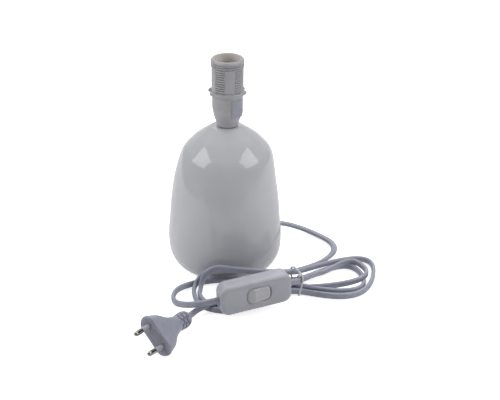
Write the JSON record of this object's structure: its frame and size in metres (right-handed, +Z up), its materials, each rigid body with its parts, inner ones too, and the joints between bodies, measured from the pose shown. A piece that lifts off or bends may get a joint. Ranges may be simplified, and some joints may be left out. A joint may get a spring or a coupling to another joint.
{
  "type": "table lamp",
  "caption": "White cast table lamp base with a threaded screw lampholder, flat cord tied in a hank, in-line rocker switch and flat two-pin plug",
  "frame": {"origin": "middle of the base, on the surface the lamp stands on", "axes": "Z up along the lamp, the pictured side faces -Y"},
  "size_m": [0.1926, 0.2227, 0.1843],
  "materials": {
    "glaze": "gloss",
    "pad": "matte",
    "holder_plastic": "satin",
    "sticker": "matte",
    "base_ceramic": "matte",
    "plated_steel": "satin",
    "brass": "satin",
    "rubber": "matte",
    "cord_vinyl": "satin",
    "core_brown": "satin",
    "core_blue": "satin",
    "switch_plastic": "satin",
    "plug_vinyl": "satin",
    "pin_nickel": "polished",
    "sleeve_plastic": "satin",
    "tie_wire": "satin"
  },
  "bodies": {
    "lamp": {"cast_body": "glaze", "base_pad": "pad", "cord_bush": "rubber", "nipple_tube": "brass", "clamp_washer": "plated_steel", "nipple_nut": "brass", "holder_cap": "holder_plastic", "holder_shell": "holder_plastic", "contact_base": "base_ceramic", "holder_terminal_left": "brass", "holder_terminal_right": "brass", "screw_shell": "plated_steel", "centre_contact": "brass", "holder_label": "sticker", "inner_lead": "cord_vinyl", "lead_core_left": "core_blue", "lead_core_right": "core_brown", "cord_lamp_run": "cord_vinyl", "cord_lamp_hank": "cord_vinyl", "cord_plug_hank": "cord_vinyl", "cord_plug_run": "cord_vinyl", "cord_tie": "tie_wire", "switch_cover": "switch_plastic", "switch_base": "switch_plastic", "rocker_pin": "plated_steel", "switch_contact_left": "brass", "switch_contact_right": "brass", "switch_terminal_left": "plated_steel", "switch_terminal_right": "plated_steel", "cover_screw_left": "plated_steel", "cover_screw_right": "plated_steel", "cord_clamp_left": "switch_plastic", "cord_clamp_right": "switch_plastic", "switch_core_left": "core_brown", "switch_core_right": "core_brown", "switch_core_through": "core_blue", "plug_body": "plug_vinyl", "plug_carrier": "plug_vinyl", "plug_pin_left": "pin_nickel", "plug_pin_right": "pin_nickel", "pin_sleeve_left": "sleeve_plastic", "pin_sleeve_right": "sleeve_plastic"},
    "rocker": {"switch_rocker": "switch_plastic", "rocker_contact": "brass"}
  },
  "joints": [
    {"name": "rocker_tilt", "type": "hinge", "parent": "lamp", "child": "rocker", "pos_m": [0.02912, -0.0919, 0.01993], "axis": [-0.0306, -0.0128, 0.9995], "range_deg": [-24, 0]}
  ]
}
